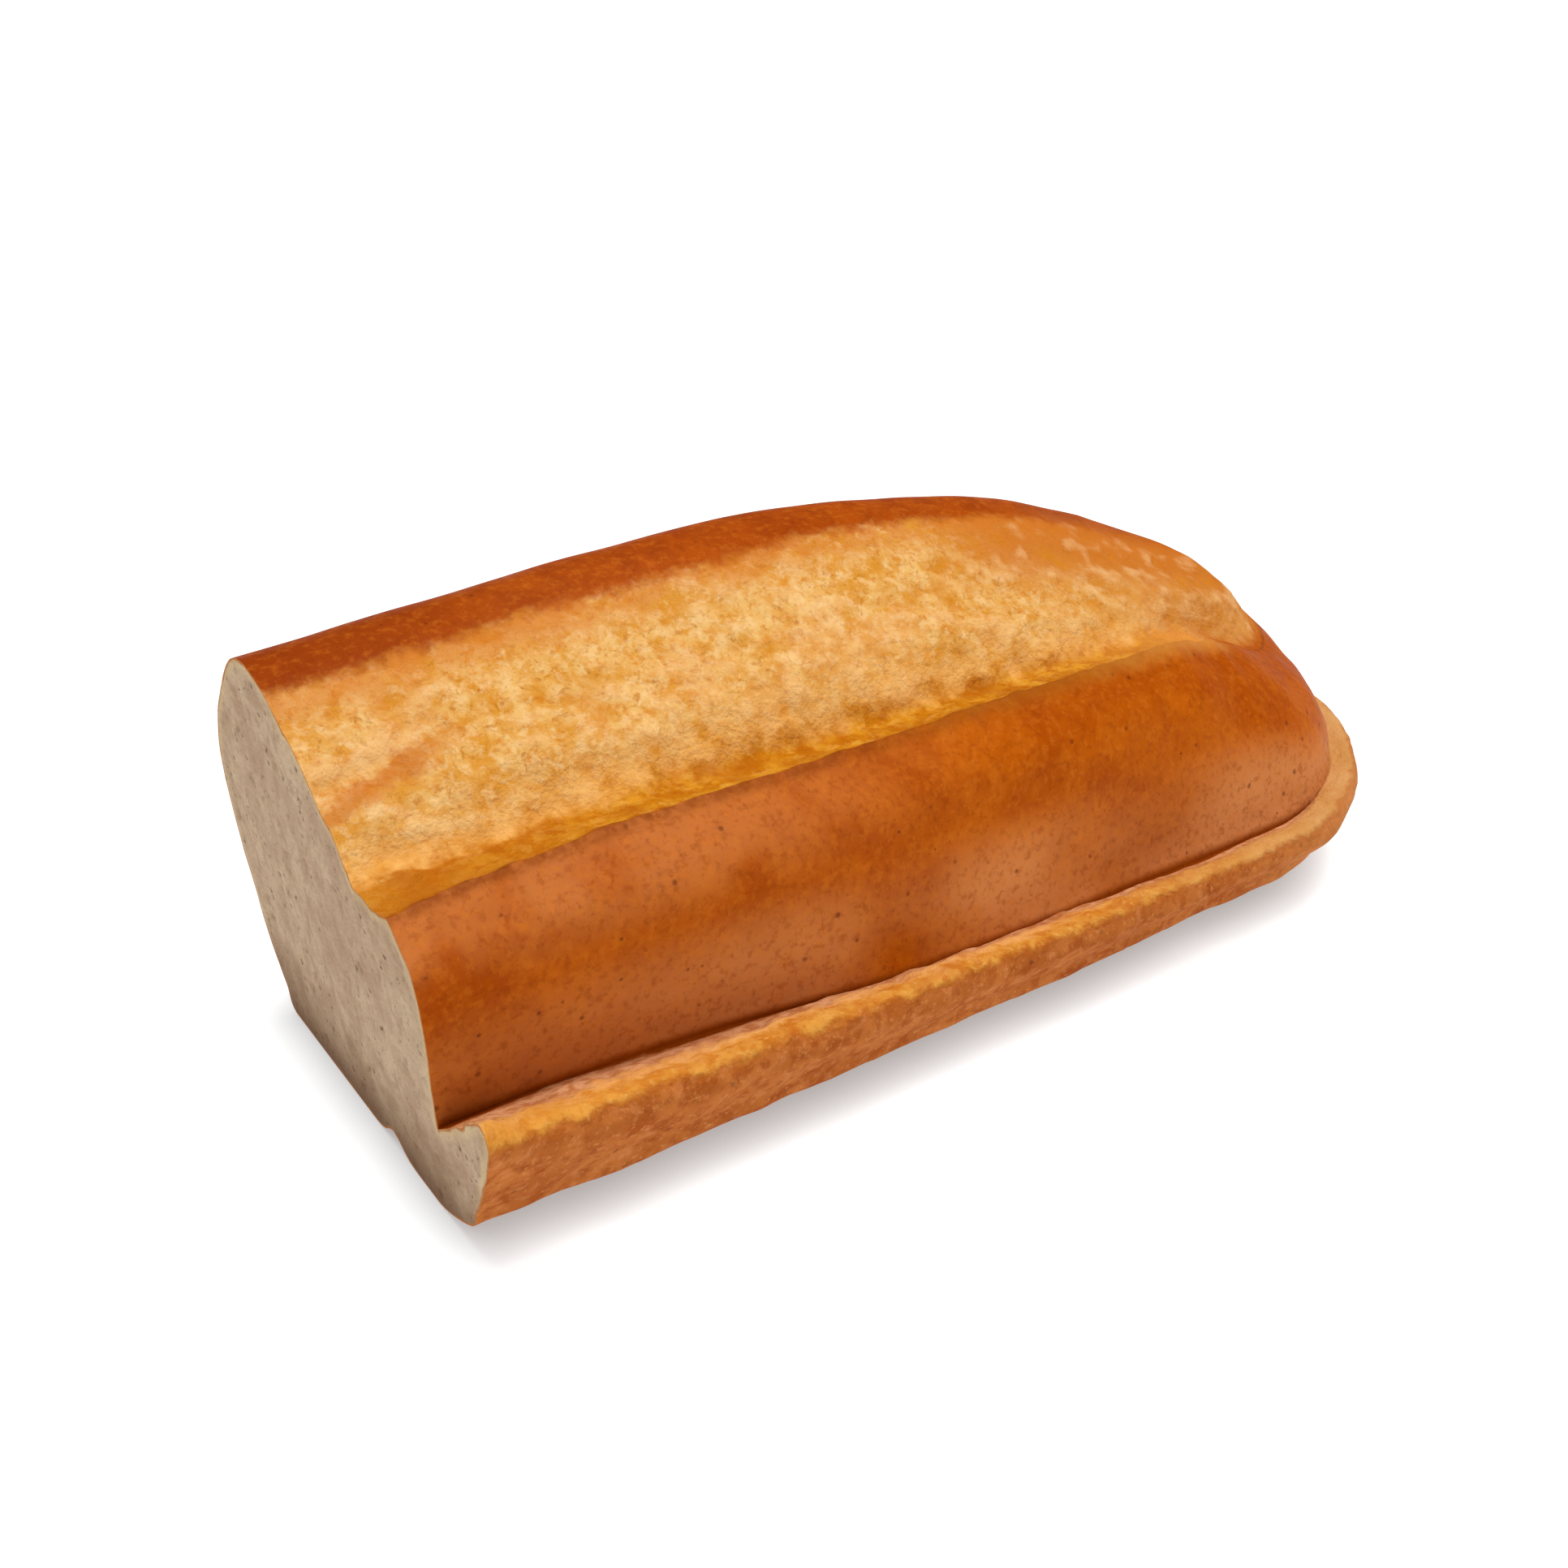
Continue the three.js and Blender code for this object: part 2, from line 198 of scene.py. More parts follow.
def waves(P, size, seed):
    # gradient noise of about -1 to 1, with features of the size given in mm
    size = np.asarray(size, float)
    G = P / size + np.array([13.7, 41.3, 7.9])
    I = np.floor(G)
    F = G - I
    U = F ** 3 * (F * (F * 6 - 15) + 10)
    total = np.zeros(len(P))
    for dx in (0, 1):
        for dy in (0, 1):
            for dz in (0, 1):
                cx, cy, cz = I[:, 0] + dx, I[:, 1] + dy, I[:, 2] + dz
                gx = scatter(cx, cy, cz, seed) * 2 - 1
                gy = scatter(cx, cy, cz, seed + 101) * 2 - 1
                gz = scatter(cx, cy, cz, seed + 202) * 2 - 1
                w = ((U[:, 0] if dx else 1 - U[:, 0]) * (U[:, 1] if dy else 1 - U[:, 1])
                     * (U[:, 2] if dz else 1 - U[:, 2]))
                total += w * (gx * (F[:, 0] - dx) + gy * (F[:, 1] - dy) + gz * (F[:, 2] - dz))
    return total * 1.6


def rough(P, size, seed, octaves=3, gain=.5):
    total = np.zeros(len(P))
    amp = 1.0
    s = np.asarray(size, float)
    for o in range(octaves):
        total += amp * waves(P, s, seed + 17 * o)
        amp *= gain
        s = s * .5
    return total


def pits(P, size, seed, keep=1.0):
    # distance to the nearest scattered point, in cells, and that point's own number
    G = P / size
    I = np.floor(G)
    best = np.full(len(P), 9.0)
    own = np.zeros(len(P))
    for dx in (-1, 0, 1):
        for dy in (-1, 0, 1):
            for dz in (-1, 0, 1):
                cx, cy, cz = I[:, 0] + dx, I[:, 1] + dy, I[:, 2] + dz
                a = scatter(cx, cy, cz, seed)
                d = np.sqrt((cx + a - G[:, 0]) ** 2
                            + (cy + scatter(cx, cy, cz, seed + 31) - G[:, 1]) ** 2
                            + (cz + scatter(cx, cy, cz, seed + 62) - G[:, 2]) ** 2)
                n = scatter(cx, cy, cz, seed + 93)
                d = np.where(n > keep, 9.0, d)
                own = np.where(d < best, n, own)
                best = np.minimum(best, d)
    return best, own


# ---------------------------------------------------------------------------
# The skin of the loaf
# ---------------------------------------------------------------------------
NEAR = 197
ROUND = 151
q = np.concatenate([np.linspace(0, 1, NEAR), np.linspace(1, 3, ROUND)[1:-1], np.linspace(3, 4, NEAR)])
t = np.concatenate([np.linspace(0, 1, 15)[:-1], np.linspace(1, 2, 15)[:-1], np.linspace(2, 3, 15)[:-1],
                    np.linspace(3, 4, 13)[:-1], np.linspace(4, 5, 17)[:-1], np.linspace(5, 8, 51)[:-1],
                    np.linspace(8, 9, 33)])
X, Y, Z, inset = loaf(q, t)
nt, nq = X.shape
TT, QQ = np.meshgrid(t, q, indexing='ij')
# the shoulder of the loaf is rounded where no torn edge stands up, round the tip and along the far side
ease = .5 * np.exp(-((TT - 8.0) / .16) ** 2) * smooth(1.05, 1.6, QQ)
ease[0] = ease[-1] = 0
for _ in range(24):
    for G in (X, Y, Z):
        mid = G.copy()
        mid[1:-1] = (G[:-2] + G[2:]) / 2
        G += ease * (mid - G)

# grid places that share a point: the middle lines of base and top, and the two ends of the round tip
index = np.arange(nt * nq).reshape(nt, nq)
canon = index.copy()
for row in (0, nt - 1):
    canon[row, nq - NEAR:] = canon[row, :NEAR][::-1]
    canon[row, NEAR:nq - NEAR] = canon[row, NEAR - 1]
kept, flatmap = np.unique(canon.ravel(), return_inverse=True)
vid = flatmap.reshape(nt, nq)
V = np.stack([X.ravel()[kept], Y.ravel()[kept], Z.ravel()[kept]], 1)
vt = TT.ravel()[kept]
vq = QQ.ravel()[kept]
vin = inset.ravel()[kept]
# below the torn edge the distance goes on as a negative number
vin = np.where(vt > 8, vin, -(8 - vt) * 7.0)
shape_lo = V.min(0)
shape_hi = V.max(0)

tris = []
A, B, C, D = vid[:-1, :-1].ravel(), vid[:-1, 1:].ravel(), vid[1:, 1:].ravel(), vid[1:, :-1].ravel()
quads = np.stack([A, B, C, D], 1)
row0 = np.repeat(np.arange(nt - 1), nq - 1)
bad_low = A == B
bad_high = C == D
shell_quads = quads[~bad_low & ~bad_high]
shell_tris = np.concatenate([np.stack([A, C, D], 1)[bad_low & ~bad_high],
                             np.stack([A, B, C], 1)[bad_high & ~bad_low]])


def normals(V, quads, tris):
    N = np.zeros_like(V)
    f = np.cross(V[quads[:, 2]] - V[quads[:, 0]], V[quads[:, 3]] - V[quads[:, 1]])
    for k in range(4):
        np.add.at(N, quads[:, k], f)
    if len(tris):
        g = np.cross(V[tris[:, 1]] - V[tris[:, 0]], V[tris[:, 2]] - V[tris[:, 0]])
        for k in range(3):
            np.add.at(N, tris[:, k], g)
    return N / np.maximum(np.linalg.norm(N, axis=1), 1e-9)[:, None]


N = normals(V, shell_quads, shell_tris)
middle = np.array([60.0, 18.0, 20.0])
if np.einsum('ij,ij->i', N, V - middle).mean() < 0:
    shell_quads = shell_quads[:, ::-1]
    shell_tris = shell_tris[:, ::-1]
    N = -N

x, y, z = V[:, 0], V[:, 1], V[:, 2]
# where the pale torn top ends on the far side, and how far past that line a point lies
line = mono(x, [-10, 20, 50, 66, 85, 99, 110, 120, 130, 142], [25.2, 25.3, 24.8, 24.9, 25.6, 25.8, 25.6, 25.0, 24.0, 23.0])
past = np.where(vt >= 8, y - line, np.where(vq > 2, 20.0, -20.0))
top = smooth(8.0, 8.02 + .30 * smooth(1.02, 1.4, vq), vt)
far_top = smooth(-1.6, .8, past + .9 * waves(V, 7.0, 5) + .35 * waves(V, 2.4, 6)) * top
gold_edge = mono(vq, [0, .04, .1, .2, .3, .45, .6, .8, .95, 1.1, 1.3],
                 [8.6, 7.8, 7.2, 6.7, 6.9, 6.4, 6.2, 5.7, 5.2, 3.4, 0.0])
ragged = 1.5 * waves(V, [6.0, 6.0, 6.0], 11) + .8 * waves(V, [2.4, 2.4, 2.4], 12)
on_dome = smooth(-.5, .9, vin - gold_edge + ragged) * top * (1 - far_top)
on_gold = top * (1 - on_dome) * (1 - far_top)
toward_tip = smooth(85, 135, x)
flank = smooth(5.0, 5.5, vt) * (1 - smooth(7.7, 8.0, vt))
ledge = smooth(2.9, 3.25, vt) * (1 - smooth(4.2, 4.7, vt)) * (1 - smooth(2.1, 2.9, vq))
wall = smooth(1.3, 1.7, vt) * (1 - smooth(2.9, 3.2, vt))
base = 1 - smooth(.9, 1.25, vt)

push = np.zeros(len(V))
# the whole crust swells and sinks a little, as dough does
push += .38 * waves(V, 21.0, 1) * (1 - base)
push += .16 * waves(V, 9.0, 2) * (1 - base)
# torn dome: lumps, folds and grain, calmer toward the tip
calm = 1 - .55 * toward_tip
lumps = (.34 * waves(V, [7.0, 5.0, 5.0], 21) + .28 * waves(V, [3.2, 2.6, 2.6], 22)
         + .22 * waves(V, [1.7, 1.5, 1.5], 23))
folds = -np.abs(waves(V, [5.0, 3.0, 3.0], 24)) * .38
push += on_dome * calm * (lumps + folds + .36)
dip = -(lumps + folds + .12)
# one deeper fold in the dome beside the cut
push -= on_dome * .8 * np.exp(-((y - 15.9 - .22 * (x - 4.0)) / 1.6) ** 2) * (1 - smooth(9.0, 15.0, x))
# torn shelf beside the crust: short ragged fibres
push += on_gold * calm * (.30 * waves(V, [2.2, 1.7, 1.7], 31) + .26 * waves(V, [4.5, 3.0, 3.0], 32) - .12)
# the dark crust beyond the dome stands a little proud of it
push += far_top * .30 * (1 - smooth(95, 120, x))
push += smooth(7.6, 7.95, vt) * (1 - smooth(8.0, 8.12, vt)) * (1 - smooth(.9, 1.5, vq)) * (.22 + .22 * waves(V, [3.2, 3.2, 3.2], 34))
# smooth flank with faint dimples and wrinkles
push += flank * (.10 * waves(V, 4.2, 41) + .035 * waves(V, 1.6, 42))
push += flank * (vq > 2) * (.10 * waves(V, 6.0, 43))
# lip of the ledge, torn in short fibres near the cut and smooth round the tip
fibre = 1 - .7 * smooth(60, 125, x)
push += ledge * fibre * (.34 * waves(V, [3.4, 2.2, 2.2], 51) + .26 * waves(V, [1.7, 1.2, 1.2], 52))
push += ledge * .20 * waves(V, [12.0, 9.0, 9.0], 53)
# outer wall of the ledge, matt and grainy
push += wall * (.16 * waves(V, 5.0, 61) + .07 * waves(V, 1.8, 62))
push += smooth(.85, 1.3, vt) * (1 - smooth(1.8, 2.2, vt)) * .22 * waves(V, [8.0, 8.0, 8.0], 63)
pore, who = pits(V, 4.4, 71, .30)
push -= (1 - base) * (1 - on_dome) * .16 * np.clip(1 - pore / (.10 + .16 * who), 0, 1)
V = V + N * push[:, None]

# a shallow groove runs in under the loaf from the cut
groove = 2.3 * np.exp(-((V[:, 1] - 11.5) / 2.5) ** 2) * np.exp(-np.clip(V[:, 0] + .5, 0, None) / 7.0)
under = 1 - smooth(.8, 1.3, vt)
V[:, 2] += groove * under
V[:, 2] = np.maximum(V[:, 2], 0)
rim_mask = (vq == 0) | (vq == 4)
V[rim_mask, 0] = SKEW * V[rim_mask, 1] - LEAN * V[rim_mask, 2]

# ---------------------------------------------------------------------------
# The cut face: fine crumb inside the rim
# ---------------------------------------------------------------------------
loop = np.concatenate([vid[:, 0], vid[::-1, -1][1:-1]])
ring = V[loop][:, 1:3]


def inside(points, poly):
    hit = np.zeros(len(points), bool)
    px, py = points[:, 0], points[:, 1]
    n = len(poly)
    for i in range(n):
        a, b = poly[i], poly[(i + 1) % n]
        cross = (a[1] > py) != (b[1] > py)
        with np.errstate(divide='ignore', invalid='ignore'):
            xi = (b[0] - a[0]) * (py - a[1]) / (b[1] - a[1]) + a[0]
        hit ^= cross & (px < xi)
    return hit


def gap(points, poly):
    # distance to the outline
    best = np.full(len(points), 1e9)
    n = len(poly)
    for i in range(n):
        a, b = poly[i], poly[(i + 1) % n]
        ab = b - a
        u = np.clip(((points - a) @ ab) / max(ab @ ab, 1e-12), 0, 1)
        best = np.minimum(best, np.linalg.norm(points - (a + u[:, None] * ab), axis=1))
    return best


rng = np.random.default_rng(20)
step = .56
gy, gz = np.meshgrid(np.arange(ring[:, 0].min(), ring[:, 0].max(), step),
                     np.arange(ring[:, 1].min(), ring[:, 1].max(), step * .866))
gy = gy + (np.arange(gy.shape[0])[:, None] % 2) * step * .5
crumb_points = np.stack([gy.ravel(), gz.ravel()], 1) + rng.uniform(-.11, .11, (gy.size, 2))
crumb_points = crumb_points[inside(crumb_points, ring)]
from_rim = gap(crumb_points, ring)
crumb_points = crumb_points[from_rim > .30]
from_rim = from_rim[from_rim > .30]
coords = [Vector(p) for p in ring.tolist()] + [Vector(p) for p in crumb_points.tolist()]
cv, ce, cf, ov, oe, of_ = delaunay_2d_cdt(coords, [], [list(range(len(ring)))], 1, 1e-6, True)

face_x = np.zeros(len(crumb_points))
flatpts = np.stack([np.zeros(len(crumb_points)), crumb_points[:, 0], crumb_points[:, 1]], 1)
soft = smooth(.2, 1.4, from_rim)
sink = .14 * waves(flatpts, 7.0, 81) + .10 * waves(flatpts, 2.4, 82) + .05 * waves(flatpts, 1.2, 83)
hole, who = pits(flatpts, 3.1, 85, .62)
sink += np.clip(1 - (hole / (.14 + .20 * who)) ** 2, 0, 1) * (.35 + .5 * who)
hole2, who2 = pits(flatpts, 1.7, 88, .55)
sink += np.clip(1 - (hole2 / (.20 + .18 * who2)) ** 2, 0, 1) * .28
face_x = SKEW * crumb_points[:, 0] - LEAN * crumb_points[:, 1] + soft * sink

count = len(V)
to_all = []
for origs in ov:
    o = origs[0]
    to_all.append(int(loop[o]) if o < len(ring) else count + o - len(ring))
V = np.concatenate([V, np.stack([face_x, crumb_points[:, 0], crumb_points[:, 1]], 1)])
cut_tris = np.array([[to_all[i] for i in f] for f in cf if len(f) == 3])
cut_tris = cut_tris[inside(V[cut_tris].mean(1)[:, 1:3], ring)]
cn = np.cross(V[cut_tris[:, 1]] - V[cut_tris[:, 0]], V[cut_tris[:, 2]] - V[cut_tris[:, 0]])
wrong = cn[:, 0] > 0
cut_tris[wrong] = cut_tris[wrong][:, ::-1]

# per-point facts that the materials read
along_q = [0, .03, .06, .12, .2, .5, .8, 1, 1.2, 1.5, 2, 4]
band_low = mono(vq, along_q, [2.95, 3.05, 3.2, 3.3, 3.3, 3.3, 3.33, 3.34, 3.40, 3.42, 3.42, 3.42])
band_high = mono(vq, along_q, [3.55, 3.7, 3.95, 4.02, 4.05, 3.92, 3.90, 3.95, 4.1, 4.2, 4.2, 4.2])
fold_start = mono(vq, [0, .04, .12, .23, .33, .42, .5, .84, 1, 1.5, 2, 4],
                  [4.5, 4.6, 4.9, 4.8, 4.7, 4.65, 4.6, 4.5, 4.5, 4.6, 4.7, 4.7])
n_all = len(V)
rim_gap = np.zeros(n_all)
rim_gap[count:] = from_rim
facts = {
    'ring': np.concatenate([vt, np.zeros(n_all - count)]),
    'round': np.concatenate([vq, np.zeros(n_all - count)]),
    'inset': np.concatenate([vin, np.zeros(n_all - count)]),
    'past': np.concatenate([np.clip(past, -20, 20), np.zeros(n_all - count)]),
    'rim_gap': rim_gap,
    'shelf': np.concatenate([vin - gold_edge, np.zeros(n_all - count)]),
    'lip': np.concatenate([np.clip((vt - band_low) / (band_high - band_low), -8, 12), np.zeros(n_all - count)]),
    'fold': np.concatenate([np.clip(vt - fold_start, -5, 5), np.zeros(n_all - count)]),
    'dip': np.concatenate([dip, np.zeros(n_all - count)]),
}

# into the part's own place: the CAD box says where the loaf stands
lo, hi = (Vector(c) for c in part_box("bread_roll"))
centre = np.array([(lo[0] + hi[0]) / 2 * 1000, (lo[1] + hi[1]) / 2 * 1000, lo[2] * 1000])
SHIFT = centre - np.array([(shape_lo[0] + shape_hi[0]) / 2, (shape_lo[1] + shape_hi[1]) / 2, 0.0])
metres = (V + SHIFT) / 1000.0

faces = shell_quads.tolist() + shell_tris.tolist() + cut_tris.tolist()
mesh = bpy.data.meshes.new("bread_roll_loaf")
mesh.from_pydata(metres.tolist(), [], faces)
mesh.update()
mesh.polygons.foreach_set("use_smooth", np.ones(len(faces), bool))
slots = np.zeros(len(faces), np.int32)
slots[len(shell_quads) + len(shell_tris):] = 1
for name, values in facts.items():
    a = mesh.attributes.new(name, 'FLOAT', 'POINT')
    a.data.foreach_set("value", values.astype(np.float32))
edges = np.zeros(len(mesh.edges) * 2, np.int32)
mesh.edges.foreach_get("vertices", edges)
edges = edges.reshape(-1, 2)
on_rim = np.zeros(n_all, bool)
on_rim[loop] = True
following = {}
for a, b in zip(loop.tolist(), np.roll(loop, -1).tolist()):
    following[(min(a, b), max(a, b))] = True
sharp = np.array([(min(a, b), max(a, b)) in following for a, b in edges.tolist()])
s = mesh.attributes.new("sharp_edge", 'BOOLEAN', 'EDGE')
s.data.foreach_set("value", sharp)
loaf_piece = bpy.data.objects.new("bread_roll_loaf", mesh)
bpy.context.scene.collection.objects.link(loaf_piece)
print("loaf: %d points, %d triangles" % (n_all, 2 * len(shell_quads) + len(shell_tris) + len(cut_tris)))


# ---------------------------------------------------------------------------
# Materials
# ---------------------------------------------------------------------------
def srgb(r, g, b):
    def lin(c):
        c = c / 255.0
        return c / 12.92 if c <= .04045 else ((c + .055) / 1.055) ** 2.4
    return (lin(r), lin(g), lin(b), 1.0)


class Paint:
    def __init__(self, name):
        self.material = bpy.data.materials.new(name)
        self.material.use_nodes = True
        self.tree = self.material.node_tree
        self.tree.nodes.clear()
        out = self.node("ShaderNodeOutputMaterial")
        self.bsdf = self.node("ShaderNodeBsdfPrincipled")
        self.tree.links.new(self.bsdf.outputs[0], out.inputs[0])
        place = self.node("ShaderNodeTexCoord")
        scale = self.node("ShaderNodeVectorMath")
        scale.operation = 'SCALE'
        scale.inputs["Scale"].default_value = 1000.0
        self.tree.links.new(place.outputs["Object"], scale.inputs[0])
        self.mm = scale.outputs[0]

    def node(self, kind):
        return self.tree.nodes.new(kind)

    def put(self, socket, value):
        if hasattr(value, "is_output"):
            self.tree.links.new(value, socket)
        else:
            socket.default_value = value

    def attr(self, name):
        n = self.node("ShaderNodeAttribute")
        n.attribute_name = name
        return n.outputs["Fac"]

    def calc(self, op, a, b=0.0, clamp=False):
        n = self.node("ShaderNodeMath")
        n.operation = op
        n.use_clamp = clamp
        self.put(n.inputs[0], a)
        self.put(n.inputs[1], b)
        return n.outputs[0]

    def add(self, *v):
        r = v[0]
        for w in v[1:]:
            r = self.calc('ADD', r, w)
        return r

    def mul(self, *v):
        r = v[0]
        for w in v[1:]:
            r = self.calc('MULTIPLY', r, w)
        return r

    def less(self, v):
        return self.calc('SUBTRACT', 1.0, v)

    def step(self, v, a, b, lo=0.0, hi=1.0):
        n = self.node("ShaderNodeMapRange")
        n.interpolation_type = 'SMOOTHSTEP'
        self.put(n.inputs["Value"], v)
        if a <= b:
            n.inputs["From Min"].default_value = a
            n.inputs["From Max"].default_value = b
            n.inputs["To Min"].default_value = lo
            n.inputs["To Max"].default_value = hi
        else:
            n.inputs["From Min"].default_value = b
            n.inputs["From Max"].default_value = a
            n.inputs["To Min"].default_value = hi
            n.inputs["To Max"].default_value = lo
        return n.outputs[0]

    def noise(self, size, detail=2.0, rough=.5, twist=0.0, shift=0.0, stretch=(1, 1, 1)):
        m = self.node("ShaderNodeVectorMath")
        m.operation = 'MULTIPLY_ADD'
        self.put(m.inputs[0], self.mm)
        m.inputs[1].default_value = (1 / size / stretch[0], 1 / size / stretch[1], 1 / size / stretch[2])
        m.inputs[2].default_value = (shift, shift * .7 + 3.1, -shift * 1.3)
        n = self.node("ShaderNodeTexNoise")
        n.inputs["Scale"].default_value = 1.0
        n.inputs["Detail"].default_value = detail
        n.inputs["Roughness"].default_value = rough
        n.inputs["Distortion"].default_value = twist
        self.tree.links.new(m.outputs[0], n.inputs["Vector"])
        return n.outputs["Fac"] if "Fac" in n.outputs else n.outputs[0]

    def spots(self, size, radius, soft=.35, shift=0.0, chance=.5):
        # scattered soft dots: 1 in the middle of a dot, 0 between dots
        m = self.node("ShaderNodeVectorMath")
        m.operation = 'MULTIPLY_ADD'
        self.put(m.inputs[0], self.mm)
        m.inputs[1].default_value = (1 / size,) * 3
        m.inputs[2].default_value = (shift, shift * 1.7, shift * .3)
        v = self.node("ShaderNodeTexVoronoi")
        v.inputs["Scale"].default_value = 1.0
        self.tree.links.new(m.outputs[0], v.inputs["Vector"])
        split = self.node("ShaderNodeSeparateColor")
        self.tree.links.new(v.outputs["Color"], split.inputs[0])
        some = self.step(split.outputs[0], chance, chance - .02)
        vary = self.step(split.outputs[1], 0.0, 1.0, radius * .45, radius * 1.3)
        near = self.calc('DIVIDE', v.outputs["Distance"], vary)
        return self.mul(self.step(near, 1.0, soft), some)

    def blend(self, f, a, b):
        n = self.node("ShaderNodeMix")
        n.data_type = 'RGBA'
        self.put(n.inputs[0], f)
        self.put(n.inputs[6], a)
        self.put(n.inputs[7], b)
        return n.outputs[2]

    def shade(self, colour, f):
        # a colour times a number
        n = self.node("ShaderNodeVectorMath")
        n.operation = 'SCALE'
        self.put(n.inputs[0], colour)
        self.put(n.inputs["Scale"], f)
        return n.outputs[0]

    def relief(self, height, mm, strength=1.0):
        n = self.node("ShaderNodeBump")
        n.inputs["Strength"].default_value = strength
        n.inputs["Distance"].default_value = mm / 1000.0
        self.put(n.inputs["Height"], height)
        self.tree.links.new(n.outputs[0], self.bsdf.inputs["Normal"])


def make_crust():
    p = Paint("baked_crust")
    ring, rnd, ins, past = p.attr("ring"), p.attr("round"), p.attr("inset"), p.attr("past")
    lip, foldd, shelf = p.attr("lip"), p.attr("fold"), p.attr("shelf")
    split = p.node("ShaderNodeSeparateXYZ")
    p.put(split.inputs[0], p.mm)
    along, across = split.outputs[0], split.outputs[1]

    n30 = p.noise(30, 2, .5, 0, 1.3)
    n12 = p.noise(12, 3, .5, .3, 2.1)
    n6 = p.noise(6, 3, .55, .4, 4.4)
    n3 = p.noise(3.0, 3, .6, .3, 6.2)
    n15 = p.noise(1.5, 3, .6, .2, 8.8)
    n07 = p.noise(.7, 2, .6, 0, 3.7)

    # dark glossy crust
    dark = p.blend(p.step(n12, .35, .65), srgb(160, 68, 0), srgb(178, 84, 2))
    dark = p.blend(p.mul(p.step(n3, .44, .76), .42), dark, srgb(194, 102, 18))
    dark = p.blend(p.mul(p.step(n15, .50, .74), .28), dark, srgb(152, 64, 4))
    dark = p.blend(p.mul(p.step(n6, .52, .30), .5), dark, srgb(156, 62, 0))
    # painted sheen: pinkish highlights painted on the flank, near the ridge by the cut and along the lower flank
    # and round the tip
    painted_sheen_ridge = p.mul(p.step(ring, 6.7, 7.5), p.step(along, 0, -52), p.step(n12, .25, .55))
    painted_sheen_low_flank = p.mul(p.step(ring, 5.02, 5.35), p.step(ring, 6.9, 6.0), p.step(n30, .24, .62))
    painted_sheen_low_flank = p.mul(painted_sheen_low_flank, p.step(along, -66, -20, .45, 1.0))
    dark = p.blend(p.mul(painted_sheen_ridge, .62), dark, srgb(192, 116, 62))
    dark = p.blend(p.mul(painted_sheen_low_flank, .95), dark, srgb(210, 134, 76))
    painted_sheen_tip_flank = p.mul(p.step(ring, 5.02, 5.4), p.step(ring, 6.3, 5.5), p.step(along, 4, 30), p.step(rnd, 2.2, 1.6))
    dark = p.blend(p.mul(painted_sheen_tip_flank, .6), dark, srgb(210, 138, 84))
    far = p.step(rnd, 2.1, 2.6)
    beyond = p.blend(p.step(n6, .35, .65), srgb(148, 56, 0), srgb(166, 70, 2))
    dark = p.blend(p.mul(far, .92), dark, beyond)
    dark = p.blend(p.mul(far, p.step(along, -40, -66), .6), dark, srgb(132, 46, 0))
    dark = p.blend(p.mul(p.step(p.noise(1.1, 3, .65, 0, 17.0), .46, .70), .34), dark, srgb(200, 108, 26))
    dark = p.blend(p.mul(p.step(p.noise(1.0, 3, .65, 0, 23.0), .48, .70), .40), dark, srgb(134, 52, 2))
    specks = p.mul(p.spots(2.4, .17, .3, 5.0, .42), .6)
    dark = p.blend(specks, dark, srgb(84, 32, 10))
    dark = p.blend(p.mul(p.step(n07, .60, .76), .30), dark, srgb(112, 48, 10))

    # pale torn dome
    pale = p.blend(p.step(n3, .32, .66), srgb(208, 142, 52), srgb(222, 174, 102))
    pale = p.blend(p.mul(p.step(p.noise(2.6, 3, .65, .5, 11.3), .46, .64), .65), pale, srgb(202, 132, 34))
    pale = p.blend(p.mul(p.step(p.noise(1.9, 3, .65, .4, 14.1), .50, .68), .6), pale, srgb(230, 190, 132))
    pale = p.blend(p.mul(p.step(n15, .56, .70), .5), pale, srgb(208, 122, 34))
    pale = p.blend(p.mul(p.step(n07, .58, .74), .5), pale, srgb(196, 112, 40))
    pale = p.blend(p.mul(p.spots(2.2, .16, .3, 9.0, .5), .55), pale, srgb(156, 84, 24))
    pale = p.blend(p.mul(p.step(p.noise(1.1, 3, .65, .6, 29.0), .54, .68), .6), pale, srgb(178, 106, 26))
    pale = p.blend(p.mul(p.step(p.noise(1.3, 3, .65, .5, 53.0), .54, .68), .45), pale, srgb(232, 196, 138))
    pale = p.blend(p.mul(p.step(past, -12, -5), p.step(along, 4, 22), .45), pale, srgb(192, 110, 34))
    round_edge = p.mul(p.step(rnd, 1.02, 1.22), p.step(p.add(ins, p.mul(p.calc('SUBTRACT', n3, .5), 3.0)), 5.5, .8))
    pale = p.blend(p.mul(round_edge, .7), pale, srgb(190, 106, 38))
    # a rosy cast in patches
    pale = p.blend(p.mul(p.step(p.noise(9, 2, .5, .3, 37.0), .50, .66), .28), pale, srgb(218, 150, 92))
    tip = p.step(along, 8, 48)
    calm = p.blend(p.step(n6, .35, .65), srgb(184, 106, 34), srgb(202, 134, 64))
    pale = p.blend(p.mul(tip, .7), pale, calm)
    pale = p.blend(p.mul(p.step(past, -13, -5), p.step(along, 4, 22), p.step(n12, .12, .48), .80), pale, srgb(190, 106, 30))
    # the dips of the torn dough are painted browner and its crests paler: partly the dough's own colour, partly
    # painted shade in the dips and painted light on the crests
    dip_tone_and_shade = p.calc('ADD', p.attr("dip"), p.mul(p.calc('SUBTRACT', n15, .5), .5))
    pale = p.blend(p.mul(p.step(dip_tone_and_shade, .0, .44), .66), pale, srgb(198, 122, 26))
    pale = p.blend(p.mul(p.step(dip_tone_and_shade, -.08, -.42), .35), pale, srgb(238, 194, 136))
